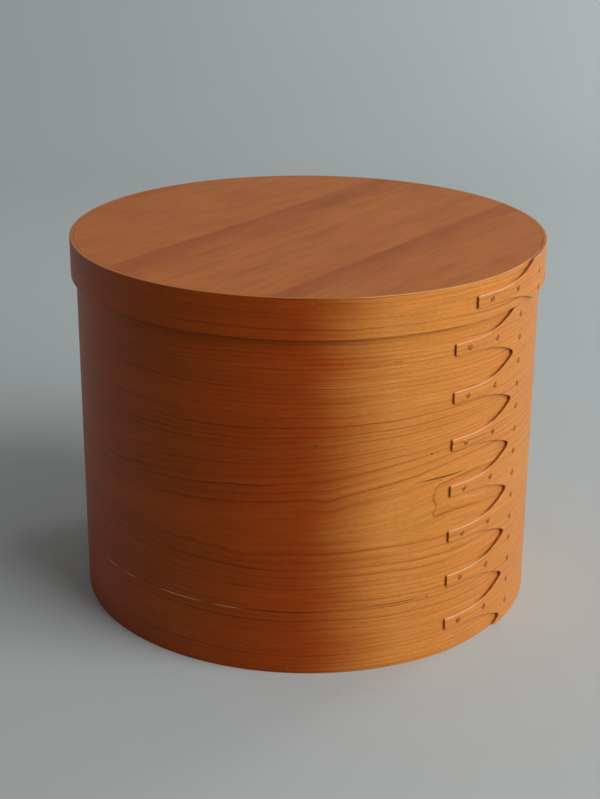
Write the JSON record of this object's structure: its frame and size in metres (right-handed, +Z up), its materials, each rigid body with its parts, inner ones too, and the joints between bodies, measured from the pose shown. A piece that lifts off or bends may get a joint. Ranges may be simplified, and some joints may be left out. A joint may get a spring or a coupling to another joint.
{
  "type": "bentwood pantry box",
  "caption": "Tall round bentwood box with a lift-off lid: thin bent wooden bands with lapped, tacked fingers around plank boards, for keeping dry goods.",
  "frame": {"origin": "centre of the underside of the base, on the axis of the round box", "axes": "+Z up through the lid; -Y is the front that the picture shows, with the finger tips of both laps towards +X of it"},
  "size_m": [0.2902, 0.2902, 0.2285],
  "materials": {
    "cherry_band": "satin oiled cherry strip",
    "cherry_board": "satin oiled cherry plank",
    "peg_wood": "oiled end grain",
    "copper": "hammered copper, slightly dulled"
  },
  "bodies": {
    "box": {"body_band": "cherry_band", "base_plank_left": "cherry_board", "base_plank_middle": "cherry_board", "base_plank_right": "cherry_board", "base_pegs": "peg_wood", "finger_tip_tacks": "copper", "finger_root_tacks": "copper", "body_seam_tacks": "copper"},
    "lid": {"lid_band": "cherry_band", "lid_plank_left": "cherry_board", "lid_plank_middle": "cherry_board", "lid_plank_right": "cherry_board", "lid_pegs": "peg_wood", "lid_finger_tacks": "copper", "lid_seam_tacks": "copper"}
  },
  "joints": [
    {"name": "lid_lift", "type": "slide", "parent": "box", "child": "lid", "axis": [0, 0, 1], "range_m": [0, 0.15]}
  ]
}
